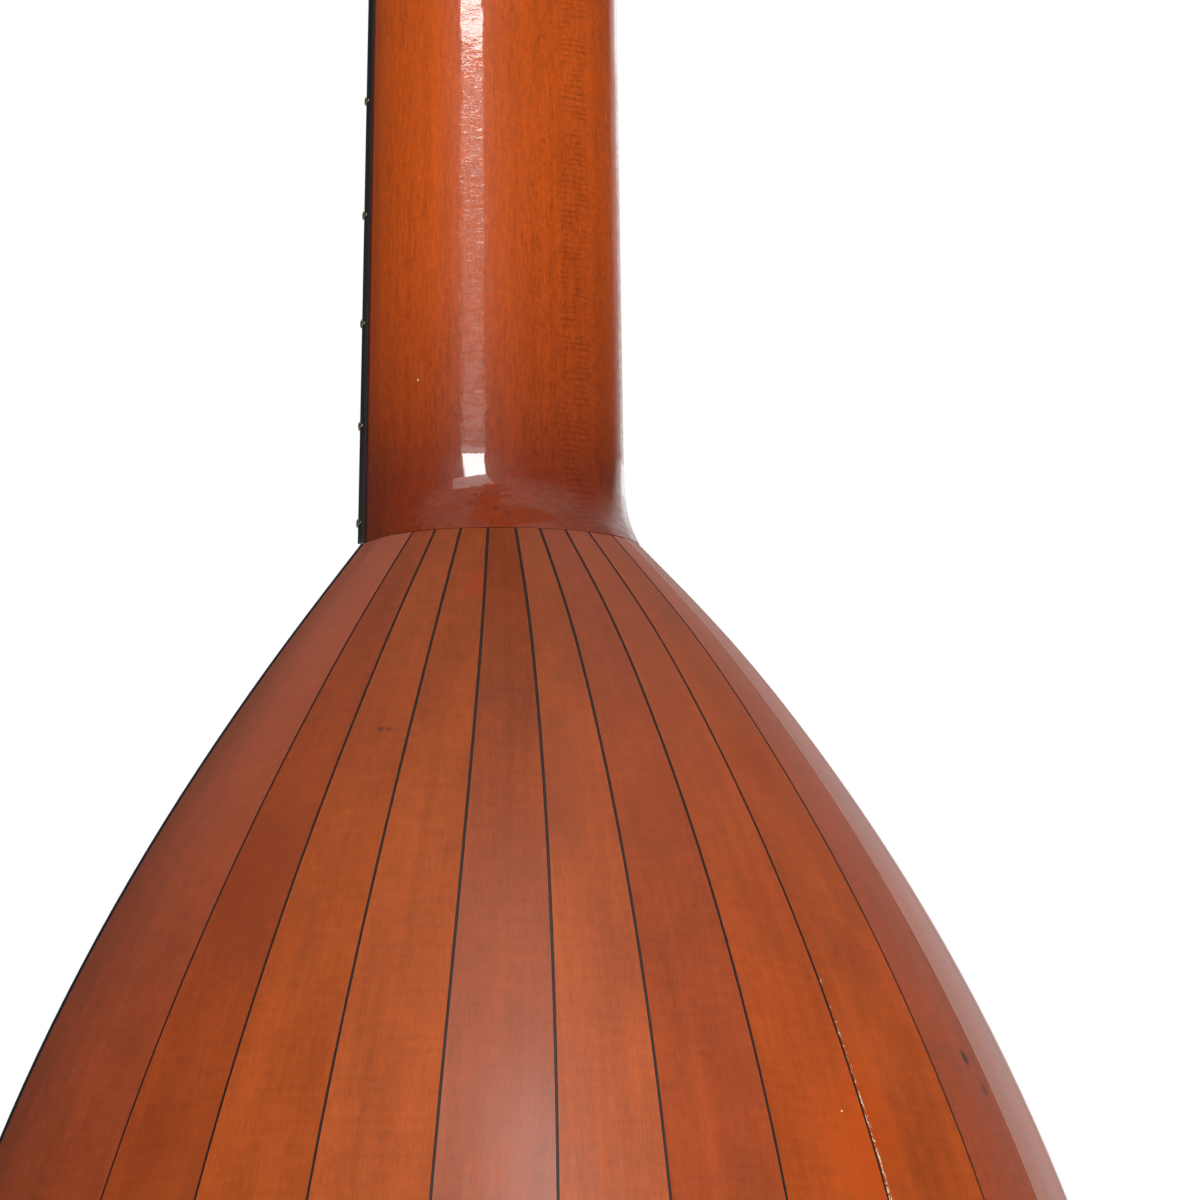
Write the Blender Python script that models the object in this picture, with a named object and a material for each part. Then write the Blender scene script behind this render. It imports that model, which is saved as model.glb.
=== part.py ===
# A six-string lute: a bowl of thirteen bent ribs with black spacers, a neck with a raised fingerboard and
# nine fixed frets, and a pegbox bent back with six tapered pegs that turn.
# Metres. +Z runs up the neck, -Y comes out of the soundboard, X runs across. The origin is on the glue plane
# between neck and fingerboard, where the strings leave the nut.
import math

import bmesh
import bpy
import numpy as np
from mathutils import Vector

MM = 0.001

# Overall
STRING_LENGTH = 620 * MM
STRING_COUNT = 6
FRET_COUNT = 9
LAST_FRET_TO_JOINT = 5 * MM
GLUE_GAP = 0.3 * MM
FINE_GAP = 0.1 * MM

# Body outline
BODY_LENGTH = 460 * MM
BODY_WIDTH = 302 * MM
JOINT_WIDTH = 60.5 * MM

# Bowl section: sides that lean in a little towards the soundboard, above all this far below the joint, then
# half an ellipse whose depth is this share of half the width
SECTION_RATIO = 0.95
SIDE_RISE = 22 * MM
SIDE_RISE_AT_JOINT = 9.3 * MM
SIDE_RISE_POWER = 0.64
SIDE_LEAN = 2.9 * MM
SIDE_LEAN_PLACE = 65 * MM
TAIL_OPENING = 14 * MM

# Ribs. The middle ones are of one width, apart from a wide and a narrow one; the two side ribs take the rest
MIDDLE_RIB_WIDTHS = (1, 1, 1, 1.2, 1, 1, 0.9, 1, 1, 1, 1)
RIB_THICKNESS = 1.8 * MM
RIB_CROWN_SHARE = 0.4
MIDDLE_SHARE_AT_JOINT = 0.61
MIDDLE_SHARE_AT_WIDEST = 0.738
SPACER_WIDTH = 0.4 * MM
SPACER_GAP = 0.1 * MM
STATIONS = 20

# Blocks and clasp
BLOCK_GAP = 0.6 * MM
NECK_BLOCK_STATIONS = 3
TAIL_BLOCK_STATIONS = 3
CLASP_GAP = 0.6 * MM
CLASP_THICKNESS = 1.4 * MM
CLASP_HEIGHT = 44 * MM
CLASP_TIP_HEIGHT = 9 * MM
CLASP_REACH = math.radians(62)
CLASP_COLUMNS = 24
CLASP_ROWS = 4

# Soundboard
BOARD_THICKNESS = 2.0 * MM
BINDING_WIDTH = 1.3 * MM
ROSE_CENTRE = 168 * MM
ROSE_RADIUS = 34 * MM
ROSE_RECESS = 0.5 * MM
BAR_PLACES = (84 * MM, 226 * MM, 300 * MM)
BAR_WIDTH = 5 * MM
BAR_HEIGHT = 13 * MM
BAR_END_HEIGHT = 5 * MM
BAR_SCALLOP = 24 * MM
BAR_END_GAP = 1.0 * MM

# Bridge
BRIDGE_SPAN = 58 * MM
BRIDGE_END = 7 * MM
BRIDGE_WING = 30 * MM
BRIDGE_DEPTH = 10.5 * MM
BRIDGE_HEIGHT = 10.6 * MM
BRIDGE_TIP_HEIGHT = 2.5 * MM
BRIDGE_TIP_DEPTH = 5 * MM
BRIDGE_HOLE_HEIGHT = 8.2 * MM

# Neck and fingerboard
NUT_WIDTH = 52.8 * MM
NECK_DEPTH_AT_NUT = 20 * MM
NECK_DEPTH_AT_HEEL = 25 * MM
NECK_SIDE_RISE = 4 * MM
HEEL_LENGTH = 20 * MM
HEEL_SIDE_SWEEP = 4
NECK_LIP = 6 * MM
FINGERBOARD_AT_NUT = 2.3 * MM
FINGERBOARD_AT_JOINT = 3.8 * MM
FRET_CROWN_WIDTH = 2.2 * MM
FRET_CROWN_HEIGHT = 1.0 * MM
FRET_TANG_WIDTH = 0.6 * MM
FRET_TANG_DEPTH = 1.3 * MM
FRET_OVERHANG = 0.05 * MM

# Nut and strings
NUT_LENGTH = 5 * MM
NUT_SPAN = 39 * MM
NUT_ABOVE_FRETS = 1.1 * MM
NUT_CREST_FALL = 0.8 * MM
STRING_ABOVE_FRETS = 0.5 * MM
FIRST_STRING = 0.6 * MM
LAST_STRING = 1.1 * MM
STRING_TAIL = 3 * MM
STRING_FALL_OVER_NUT = 0.7 * MM
GROOVE_CLEARANCE = 0.15 * MM
WINDING_TURNS = 3
WINDING_STEPS = 10
WINDING_MARGIN = 1 * MM

# Pegbox
PEGBOX_BEND = math.radians(80)
PEGBOX_END_WIDTH = 38 * MM
PEGBOX_ROUND_END = 5 * MM
PEGBOX_START_HEIGHT = 2.0 * MM
CHEEK_THICKNESS = 6.5 * MM
CHEEK_HEIGHT = 22 * MM
CHEEK_END_HEIGHT = 16 * MM
PEGBOX_BACK_THICKNESS = 4 * MM
PEGBOX_END_LENGTH = 9 * MM

# Pegs
FIRST_PEG = 20 * MM
PEG_SPACING = 22 * MM
LAST_PEG_TO_END = 7 * MM
PEG_DEPTH = 9 * MM
PEG_RADIUS = 4.1 * MM
PEG_TIP_RADIUS = 3.0 * MM
PEG_CLEARANCE = 0.25 * MM
PEG_TIP = 3 * MM
PEG_COLLAR_RADIUS = 6.2 * MM
PEG_COLLAR_LENGTH = 3 * MM
PEG_STEM = 4 * MM
PEG_HEAD_LENGTH = 19 * MM
PEG_HEAD_WIDTH = 19 * MM
PEG_HEAD_THICKNESS = 6.5 * MM
PEG_SIDES = 12
HOLE_SIDES = 16

# Worked out from the above
JOINT_DROP = STRING_LENGTH * (1 - 2 ** (-FRET_COUNT / 12)) + LAST_FRET_TO_JOINT
JOINT_Z = -JOINT_DROP
TAIL_Z = JOINT_Z - BODY_LENGTH
BRIDGE_Z = -STRING_LENGTH
RIM_Y = GLUE_GAP
FRET_TOP_AT_NUT = FINGERBOARD_AT_NUT + FINE_GAP + FRET_CROWN_HEIGHT
STRING_AT_NUT = FRET_TOP_AT_NUT + STRING_ABOVE_FRETS
STRING_AT_BRIDGE = BOARD_THICKNESS + GLUE_GAP + BRIDGE_HOLE_HEIGHT
RIB_COUNT = len(MIDDLE_RIB_WIDTHS) + 2
SEAM_COUNT = RIB_COUNT - 1
PEGBOX_LENGTH = FIRST_PEG + PEG_SPACING * (STRING_COUNT - 1) + LAST_PEG_TO_END + PEGBOX_END_LENGTH


def clear_scene():
    for thing in list(bpy.data.objects):
        bpy.data.objects.remove(thing, do_unlink=True)


def material(name, colour, roughness, metallic=0.0):
    made = bpy.data.materials.new(name)
    made.use_nodes = True
    shader = made.node_tree.nodes["Principled BSDF"]
    shader.inputs["Base Color"].default_value = (*colour, 1)
    shader.inputs["Roughness"].default_value = roughness
    shader.inputs["Metallic"].default_value = metallic
    return made


def add_object(name, mesh, finish):
    mesh.materials.append(finish)
    made = bpy.data.objects.new(name, mesh)
    bpy.context.scene.collection.objects.link(made)
    return made


def mesh_from(name, bm):
    bmesh.ops.recalc_face_normals(bm, faces=bm.faces)
    mesh = bpy.data.meshes.new(name)
    bm.to_mesh(mesh)
    bm.free()
    mesh.shade_smooth()
    mesh.set_sharp_from_angle(angle=math.radians(35))
    return mesh


def lofted_mesh(name, rings):
    # A closed skin through rings of points, with a face over each end
    bm = bmesh.new()
    loops = [[bm.verts.new(point) for point in ring] for ring in rings]
    for near, far in zip(loops, loops[1:]):
        for i in range(len(near)):
            j = (i + 1) % len(near)
            bm.faces.new((near[i], near[j], far[j], far[i]))
    bm.faces.new(loops[0])
    bm.faces.new(loops[-1])
    return mesh_from(name, bm)


def loft(name, rings, finish):
    return add_object(name, lofted_mesh(name, rings), finish)


def prism_rings(outline, half_width):
    # The outline is in (y, z). It is carried to both sides, as far out as half_width gives for each z
    return [[(side * half_width(z), y, z) for y, z in outline] for side in (-1, 1)]


def cut(target, cutter):
    cutter.hide_render = True
    cutter.display_type = "WIRE"
    modifier = target.modifiers.new(cutter.name, "BOOLEAN")
    modifier.operation = "DIFFERENCE"
    modifier.solver = "EXACT"
    modifier.object = cutter


def ring_round(centre, along, radius, sides):
    # Points of a circle round a line
    along = Vector(along).normalized()
    first = along.orthogonal().normalized()
    second = along.cross(first)
    turns = [2 * math.pi * i / sides for i in range(sides)]
    return [Vector(centre) + radius * (math.cos(a) * first + math.sin(a) * second) for a in turns]


def tube_rings(points, radius, sides):
    # Rings along a path, each turned as little as possible from the one before
    points = [Vector(p) for p in points]
    tangents = []
    for i in range(len(points)):
        before = points[max(i - 1, 0)]
        after = points[min(i + 1, len(points) - 1)]
        tangents.append((after - before).normalized())
    first = tangents[0].orthogonal().normalized()
    rings = []
    for point, tangent in zip(points, tangents):
        first = (first - tangent * first.dot(tangent)).normalized()
        second = tangent.cross(first)
        turns = [2 * math.pi * i / sides for i in range(sides)]
        rings.append([point + radius * (math.cos(a) * first + math.sin(a) * second) for a in turns])
    return rings


# The bowl's shape. t runs from 0 at the joint to 1 at the tail along the rim, and g runs across the bowl
# from -1 at one rim through 0 on the back's centre line to 1 at the other rim.


TAIL_RADIUS = BODY_WIDTH / 2
WIDEST_RUN = BODY_LENGTH - TAIL_RADIUS
SHOULDER_ANGLE = 2 * math.atan2((BODY_WIDTH - JOINT_WIDTH) / 2, WIDEST_RUN)
SHOULDER_RADIUS = WIDEST_RUN / math.sin(SHOULDER_ANGLE)
SHOULDER_ARC = SHOULDER_RADIUS * SHOULDER_ANGLE
RIM_ARC = SHOULDER_ARC + TAIL_RADIUS * math.pi / 2
WIDEST_T = SHOULDER_ARC / RIM_ARC


def outline(t):
    # Distance below the joint, and half the body's width there: one arc to the widest place, then the round tail
    length = t * RIM_ARC
    if length < SHOULDER_ARC:
        angle = SHOULDER_ANGLE - length / SHOULDER_RADIUS
        run = SHOULDER_RADIUS * (math.sin(SHOULDER_ANGLE) - math.sin(angle))
        return run, JOINT_WIDTH / 2 + SHOULDER_RADIUS * (math.cos(angle) - math.cos(SHOULDER_ANGLE))
    angle = min((length - SHOULDER_ARC) / TAIL_RADIUS, math.pi / 2)
    return WIDEST_RUN + TAIL_RADIUS * math.sin(angle), TAIL_RADIUS * math.cos(angle)


def side_lean(run):
    # How far the rim stands in from the bowl's full half width, from the joint to the widest place
    if not 0 < run < WIDEST_RUN:
        return 0.0
    share = run / SIDE_LEAN_PLACE
    return SIDE_LEAN * share * math.exp(1 - share) * (1 - (run / WIDEST_RUN) ** 4)


def rim(t):
    # Distance below the joint, and half the soundboard's width there
    run, half_width = outline(t)
    return run, half_width - side_lean(run)


def side_rise(t, half_width):
    # Height of the side, from the rim to where the section starts to curve
    if t > WIDEST_T:
        return SIDE_RISE * half_width / TAIL_RADIUS
    narrowest = JOINT_WIDTH / 2
    share = max(half_width - narrowest, 0) / (TAIL_RADIUS - narrowest)
    return SIDE_RISE_AT_JOINT + (SIDE_RISE - SIDE_RISE_AT_JOINT) * share**SIDE_RISE_POWER


SECTION_ANGLES = np.linspace(0, math.pi / 2, 60)


def half_section(half_width, rise, ratio, lean=0.0):
    # From the back's centre line to the rim: a quarter of an ellipse, then the side
    across = np.append(half_width * np.sin(SECTION_ANGLES), half_width - lean)
    out = np.append(rise + ratio * half_width * np.cos(SECTION_ANGLES), RIM_Y)
    length = np.concatenate(([0], np.cumsum(np.hypot(np.diff(across), np.diff(out)))))
    return across, out, length


def section_point(half_width, rise, ratio, girth, lean=0.0):
    across, out, length = half_section(half_width, rise, ratio, lean)
    at = min(abs(girth), 1.0) * length[-1]
    return math.copysign(np.interp(at, length, across), girth), float(np.interp(at, length, out))


def bowl_point(t, girth):
    run, half_width = outline(t)
    x, y = section_point(half_width, side_rise(t, half_width), SECTION_RATIO, girth, side_lean(run))
    return Vector((x, y, JOINT_Z - run))


def half_girth(t):
    run, half_width = outline(t)
    return half_section(half_width, side_rise(t, half_width), SECTION_RATIO, side_lean(run))[2][-1]


def bowl_skin(t, girth, depth):
    # A point this far inside the bowl's outer surface, square to it
    step = 0.001
    low_t, high_t = max(t - step, 0), min(t + step, 1 - step)
    low_g, high_g = max(girth - step, -1), min(girth + step, 1)
    along = bowl_point(high_t, girth) - bowl_point(low_t, girth)
    across = bowl_point(t, high_g) - bowl_point(t, low_g)
    outward = across.cross(along).normalized()
    if outward.dot(Vector((math.copysign(abs(girth), girth), 1 - abs(girth), 0))) < 0:
        outward = -outward
    return bowl_point(t, girth) - depth * outward


def middle_share(t):
    # Share of the half girth that the middle ribs take
    rise = min(outline(t)[0] / WIDEST_RUN, 1.0)
    return MIDDLE_SHARE_AT_JOINT + (MIDDLE_SHARE_AT_WIDEST - MIDDLE_SHARE_AT_JOINT) * math.sin(rise * math.pi / 2)


def seam_girth(t, seam):
    # Seams are counted from 0, between the first side rib and its neighbour
    place = sum(MIDDLE_RIB_WIDTHS[:seam]) / sum(MIDDLE_RIB_WIDTHS)
    return middle_share(t) * (2 * place - 1)


def tail_end_t():
    # Where the ribs stop, short of the tail's point, under the clasp
    return (RIM_ARC - TAIL_RADIUS * math.asin(TAIL_OPENING / TAIL_RADIUS)) / RIM_ARC


RIB_STATIONS = np.linspace(0, tail_end_t(), STATIONS)


def crowned(t, low, high, depth):
    # A narrow rib is nearly flat across: its middle stands a little above the straight line between its edges
    left, right = bowl_skin(t, low, depth), bowl_skin(t, high, depth)
    straight = (left + right) / 2
    full = bowl_skin(t, (low + high) / 2, depth)
    return [left, straight + RIB_CROWN_SHARE * (full - straight), right]


def side_rib_points(t, low, high, depth):
    return [bowl_skin(t, girth, depth) for girth in np.linspace(low, high, 5)]


def rib_edges(t, index):
    # Girths of the two edges of a rib, leaving room for the spacers beside it
    beside = (SPACER_WIDTH / 2 + SPACER_GAP) / half_girth(t)
    low = -1.0 if index == 0 else seam_girth(t, index - 1) + beside
    high = 1.0 if index == RIB_COUNT - 1 else seam_girth(t, index) - beside
    return low, high


def make_ribs(finish):
    for index in range(RIB_COUNT):
        side = index in (0, RIB_COUNT - 1)
        across = side_rib_points if side else crowned
        rings = []
        for t in RIB_STATIONS:
            low, high = rib_edges(t, index)
            outer = across(t, low, high, 0.0)
            inner = across(t, low, high, RIB_THICKNESS)
            rings.append(outer + inner[::-1])
        loft(f"rib_{index + 1:02d}", rings, finish)


def make_spacers(finish):
    for index in range(SEAM_COUNT):
        rings = []
        for t in RIB_STATIONS:
            centre = seam_girth(t, index)
            half = SPACER_WIDTH / 2 / half_girth(t)
            edges = (centre - half, centre + half)
            outer = [bowl_skin(t, girth, 0.0) for girth in edges]
            inner = [bowl_skin(t, girth, RIB_THICKNESS) for girth in edges]
            rings.append(outer + inner[::-1])
        loft(f"spacer_{index + 1:02d}", rings, finish)


def lining_ring(t, depth):
    # The whole section from rim to rim, following the ribs' inner faces
    points = side_rib_points(t, *rib_edges(t, 0), depth)
    for seam in range(SEAM_COUNT - 1):
        points += crowned(t, seam_girth(t, seam), seam_girth(t, seam + 1), depth)[1:]
    return points[:-1] + side_rib_points(t, *rib_edges(t, RIB_COUNT - 1), depth)


def make_blocks(finish):
    inside = RIB_THICKNESS + BLOCK_GAP
    neck_rings = [lining_ring(t, inside) for t in RIB_STATIONS[: NECK_BLOCK_STATIONS]]
    loft("neck_block", neck_rings, finish)
    tail_rings = [lining_ring(t, inside) for t in RIB_STATIONS[-TAIL_BLOCK_STATIONS:]]
    loft("tail_block", tail_rings, finish)


def tail_point(azimuth, height, outside):
    # A point on the tail's rounded end at this angle round the tail and this height behind the soundboard
    radius = TAIL_RADIUS
    lift = SIDE_RISE / radius
    ratio = SECTION_RATIO
    slant = math.tan(azimuth) ** 2
    a = lift**2 / ratio**2 - 1 - slant
    b = -2 * height * lift / ratio**2
    c = radius**2 * slant + height**2 / ratio**2
    width = (-b - math.sqrt(b * b - 4 * a * c)) / (2 * a)
    if height < lift * width:
        width = radius * abs(math.sin(azimuth))
    reach = math.sqrt(max(radius**2 - width**2, 0)) / max(math.cos(azimuth), 1e-6)
    x, run = reach * math.sin(azimuth), reach * math.cos(azimuth)
    outward = Vector((x, max(height - lift * width, 0) / ratio**2, -run)).normalized()
    return Vector((x, height, JOINT_Z - WIDEST_RUN - run)) + outside * outward


def make_clasp(finish):
    # The capping strip over the rib ends: highest in the middle, running out to a narrow tip on each side
    rings = []
    for azimuth in np.linspace(-CLASP_REACH, CLASP_REACH, CLASP_COLUMNS + 1):
        share = 1 - abs(azimuth) / CLASP_REACH
        top = CLASP_TIP_HEIGHT + (CLASP_HEIGHT - CLASP_TIP_HEIGHT) * math.sin(share * math.pi / 2) ** 1.5
        heights = np.linspace(RIM_Y, top, CLASP_ROWS + 1)
        inner = [tail_point(azimuth, height, CLASP_GAP) for height in heights]
        outer = [tail_point(azimuth, height, CLASP_GAP + CLASP_THICKNESS) for height in heights]
        rings.append(inner + outer[::-1])
    loft("end_clasp", rings, finish)


def rim_outline(inset):
    # The body's outline in the soundboard's plane, from the joint on one side round the tail to the other
    right = []
    for t in RIB_STATIONS:
        before, after = rim(max(t - 0.002, 0)), rim(t + 0.002)
        run, half_width = rim(t)
        along, across = after[0] - before[0], after[1] - before[1]
        size = math.hypot(along, across)
        if t == 0:
            # The inset is taken straight across here, so that the edge ends in the joint's plane
            right.append((half_width - inset * size / along, JOINT_Z))
        else:
            right.append((half_width - inset * along / size, JOINT_Z - run - inset * across / size))
    left = [(-x, z) for x, z in right[::-1]]
    return right + [(0.0, TAIL_Z + inset)] + left


def make_soundboard(board_finish, binding_finish):
    # The rose is carved in the board itself: a shallow round recess, then rings of openings
    edge = rim_outline(BINDING_WIDTH + GLUE_GAP)
    board = loft("soundboard", [[(x, y, z) for x, z in edge] for y in (-BOARD_THICKNESS, 0.0)], board_finish)
    rose_z = JOINT_Z - ROSE_CENTRE
    recess = [
        ring_round((0, y, rose_z), (0, 1, 0), ROSE_RADIUS, 40)
        for y in (-2 * BOARD_THICKNESS, -BOARD_THICKNESS + ROSE_RECESS)
    ]
    cut(board, loft("rose_recess", recess, board_finish))
    cut(board, rose_openings(rose_z, board_finish))
    outer, inner = rim_outline(0.0), rim_outline(BINDING_WIDTH)
    strip = [
        [(xo, -BOARD_THICKNESS, zo), (xo, 0.0, zo), (xi, 0.0, zi), (xi, -BOARD_THICKNESS, zi)]
        for (xo, zo), (xi, zi) in zip(outer, inner)
    ]
    loft("edge_binding", strip, binding_finish)


# Rings of the rose's round openings: how many, then how far out and how large as shares of the rose's radius,
# and how far the ring is turned, in steps
ROSE_RING_COUNTS = (6, 6, 12)
ROSE_RING_PLACES = (0.34, 0.56, 0.79)
ROSE_RING_SIZES = (0.14, 0.105, 0.115)
ROSE_RING_TURNS = (0.0, 0.5, 0.5)
ROSE_EYE = 0.115


def rose_openings(centre_z, finish):
    openings = [(0.0, 0.0, ROSE_EYE * ROSE_RADIUS)]
    rings = zip(ROSE_RING_COUNTS, ROSE_RING_PLACES, ROSE_RING_SIZES, ROSE_RING_TURNS)
    for count, distance, size, turn in rings:
        for i in range(count):
            angle = 2 * math.pi * (i + turn) / count
            x, z = distance * ROSE_RADIUS * math.cos(angle), distance * ROSE_RADIUS * math.sin(angle)
            openings.append((x, z, size * ROSE_RADIUS))
    bm = bmesh.new()
    for x, z, radius in openings:
        loops = [
            [bm.verts.new(p) for p in ring_round((x, y, centre_z + z), (0, 1, 0), radius, 12)]
            for y in (-3 * BOARD_THICKNESS, 2 * BOARD_THICKNESS)
        ]
        for i in range(12):
            j = (i + 1) % 12
            bm.faces.new((loops[0][i], loops[0][j], loops[1][j], loops[1][i]))
        bm.faces.new(loops[0])
        bm.faces.new(loops[1])
    return add_object("rose_openings", mesh_from("rose_openings", bm), finish)


def half_width_at(run):
    # Half the soundboard's width this far below the joint
    shares = np.linspace(0, 1, 400)
    runs, widths = zip(*(rim(t) for t in shares))
    return float(np.interp(run, runs, widths))


def make_bars(finish):
    for number, place in enumerate(BAR_PLACES, 1):
        upper, lower = place - BAR_WIDTH / 2, place + BAR_WIDTH / 2
        reach = min(half_width_at(upper), half_width_at(lower)) - RIB_THICKNESS - BAR_END_GAP
        low, high = RIM_Y, RIM_Y + BAR_HEIGHT
        end = RIM_Y + BAR_END_HEIGHT
        profile = [
            (-reach, low),
            (reach, low),
            (reach, end),
            (reach - BAR_SCALLOP, high),
            (-reach + BAR_SCALLOP, high),
            (-reach, end),
        ]
        rings = [[(x, y, JOINT_Z - run) for x, y in profile] for run in (upper, lower)]
        loft(f"bar_{number}", rings, finish)


def string_path_start(index):
    # x at the nut and at the bridge, and the string's radius
    share = index / (STRING_COUNT - 1)
    radius = (FIRST_STRING + (LAST_STRING - FIRST_STRING) * share) / 2
    return NUT_SPAN * (0.5 - share), BRIDGE_SPAN * (0.5 - share), radius


def string_y(z, radius):
    # The strings rise evenly from the nut to the bridge
    share = -z / STRING_LENGTH
    return -(STRING_AT_NUT + radius + (STRING_AT_BRIDGE - STRING_AT_NUT - radius) * share)


def make_bridge(finish, cutters):
    base = -(BOARD_THICKNESS + GLUE_GAP)
    half = BRIDGE_SPAN / 2 + BRIDGE_END
    stations = (
        (half + BRIDGE_WING, BRIDGE_TIP_HEIGHT, BRIDGE_TIP_DEPTH),
        (half + BRIDGE_WING * 0.45, BRIDGE_TIP_HEIGHT * 1.3, BRIDGE_TIP_DEPTH * 1.5),
        (half + BRIDGE_WING * 0.12, BRIDGE_HEIGHT * 0.6, BRIDGE_DEPTH * 0.93),
        (half, BRIDGE_HEIGHT, BRIDGE_DEPTH),
    )
    mirrored = [(-x, height, depth) for x, height, depth in stations[::-1]]
    middle = BRIDGE_Z - BRIDGE_DEPTH / 2
    rings = []
    for x, height, depth in list(stations) + mirrored:
        top, foot = base - height, middle
        rings.append(
            [
                (x, base, foot + depth / 2),
                (x, top + height * 0.12, foot + depth / 2),
                (x, top, foot + depth / 2 - depth * 0.1),
                (x, top, foot - depth / 2 + depth * 0.22),
                (x, top + height * 0.3, foot - depth / 2),
                (x, base, foot - depth / 2),
            ]
        )
    bridge = loft("bridge", rings, finish)
    for cutter in cutters:
        cut(bridge, cutter)


def neck_half_width(z):
    return NUT_WIDTH / 2 + (JOINT_WIDTH - NUT_WIDTH) / 2 * (-z / JOINT_DROP)


def heel_share(z):
    # 0 where the heel starts, 1 at the neck's foot
    return min(max(1 - (z - JOINT_Z - GLUE_GAP) / HEEL_LENGTH, 0), 1)


def neck_depth(z):
    # The back is nearly straight, then turns out in a cove to the bowl's depth and nearly to its slope
    straight = NECK_DEPTH_AT_NUT + (NECK_DEPTH_AT_HEEL - NECK_DEPTH_AT_NUT) * (-z / JOINT_DROP)
    at_joint = bowl_point(0, 0).y
    share = heel_share(z)
    return straight + (at_joint - straight) * (2 * share**3 - share**4)


def neck_rise(z):
    joint_rise = side_rise(0, JOINT_WIDTH / 2)
    return NECK_SIDE_RISE + (joint_rise - NECK_SIDE_RISE) * heel_share(z) ** HEEL_SIDE_SWEEP


def neck_ring(z):
    half_width, depth, rise = neck_half_width(z), neck_depth(z), neck_rise(z)
    ratio = (depth - rise) / half_width
    girths = np.concatenate((np.linspace(-1, -0.2, 7), [0.0], np.linspace(0.2, 1, 7)))
    points = [section_point(half_width, rise, ratio, girth) for girth in girths]
    return [(x, y, z) for x, y in points]


def pegbox_point(x, along, up):
    # The pegbox's own directions: along it from the nut, and up out of its open side
    y = NECK_LIP + GLUE_GAP + along * math.sin(PEGBOX_BEND) - up * math.cos(PEGBOX_BEND)
    z = PEGBOX_START_HEIGHT + along * math.cos(PEGBOX_BEND) + up * math.sin(PEGBOX_BEND)
    return Vector((x, y, z))


def pegbox_half_width(along):
    return NUT_WIDTH / 2 + (PEGBOX_END_WIDTH - NUT_WIDTH) / 2 * max(along, 0) / PEGBOX_LENGTH


def cheek_height(along):
    return CHEEK_HEIGHT + (CHEEK_END_HEIGHT - CHEEK_HEIGHT) * along / PEGBOX_LENGTH


def front_along(up):
    # Where a line at this height meets the pegbox's upright front end
    return up / math.tan(PEGBOX_BEND)


def seat_line(depth_below):
    # Front and far ends of the line this far under the cheeks
    front = front_along(-(cheek_height(0) + depth_below))
    return (front, -(cheek_height(front) + depth_below)), (
        PEGBOX_LENGTH,
        -(cheek_height(PEGBOX_LENGTH) + depth_below),
    )


def make_neck(finish):
    top = -FINE_GAP
    foot = JOINT_Z + GLUE_GAP
    straight = np.linspace(top, JOINT_Z + HEEL_LENGTH, 7)
    sweep = [JOINT_Z + HEEL_LENGTH * (1 - share) for share in (0.25, 0.5, 0.7, 0.82, 0.92)]
    rings = [neck_ring(z) for z in list(straight) + sweep + [foot]]
    neck = loft("neck", rings, finish)
    # The notch that the pegbox sits in
    under = GLUE_GAP + PEGBOX_BACK_THICKNESS + GLUE_GAP
    (near, near_up), (far, far_up) = seat_line(under)
    low = pegbox_point(0, near, near_up)
    high = pegbox_point(0, far, far_up)
    slope = (high.z - low.z) / (high.y - low.y)
    back = 3 * NECK_DEPTH_AT_NUT
    above = CHEEK_HEIGHT
    notch = [
        (NECK_LIP, low.z + slope * (NECK_LIP - low.y)),
        (NECK_LIP, above),
        (back, above),
        (back, low.z + slope * (back - low.y)),
    ]
    cut(neck, loft("pegbox_notch", prism_rings(notch, lambda z: NUT_WIDTH), finish))


def fret_z(number):
    return -STRING_LENGTH * (1 - 2 ** (-number / 12))


def board_front(z):
    # The fingerboard is a wedge, thicker at the joint
    return -(FINGERBOARD_AT_NUT + (FINGERBOARD_AT_JOINT - FINGERBOARD_AT_NUT) * -z / JOINT_DROP)


def make_fingerboard(board_finish, fret_finish):
    slot_half = FRET_TANG_WIDTH / 2 + FINE_GAP
    top, foot = -FINE_GAP, JOINT_Z + GLUE_GAP
    profile = [(0.0, top), (board_front(top), top)]
    for number in range(1, FRET_COUNT + 1):
        z = fret_z(number)
        above, below = board_front(z + slot_half), board_front(z - slot_half)
        floor = board_front(z) + FRET_TANG_DEPTH + 2 * FINE_GAP
        profile += [(above, z + slot_half), (floor, z + slot_half), (floor, z - slot_half), (below, z - slot_half)]
    profile += [(board_front(foot), foot), (0.0, foot)]
    loft("fingerboard", prism_rings(profile, neck_half_width), board_finish)
    half_crown, half_tang = FRET_CROWN_WIDTH / 2, FRET_TANG_WIDTH / 2
    for number in range(1, FRET_COUNT + 1):
        z = fret_z(number)
        # The crown's foot clears the board where it is thickest, at the crown's lower edge
        seat, tang_end = board_front(z - half_crown) - FINE_GAP, board_front(z) + FRET_TANG_DEPTH
        arc = [math.pi * i / 6 for i in range(7)]
        crown = [(seat - FRET_CROWN_HEIGHT * math.sin(a), z + half_crown * math.cos(a)) for a in arc]
        tang = [(seat, z - half_tang), (tang_end, z - half_tang), (tang_end, z + half_tang), (seat, z + half_tang)]
        rings = prism_rings(crown + tang, lambda z: neck_half_width(z) + FRET_OVERHANG)
        loft(f"fret_{number}", rings, fret_finish)


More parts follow.
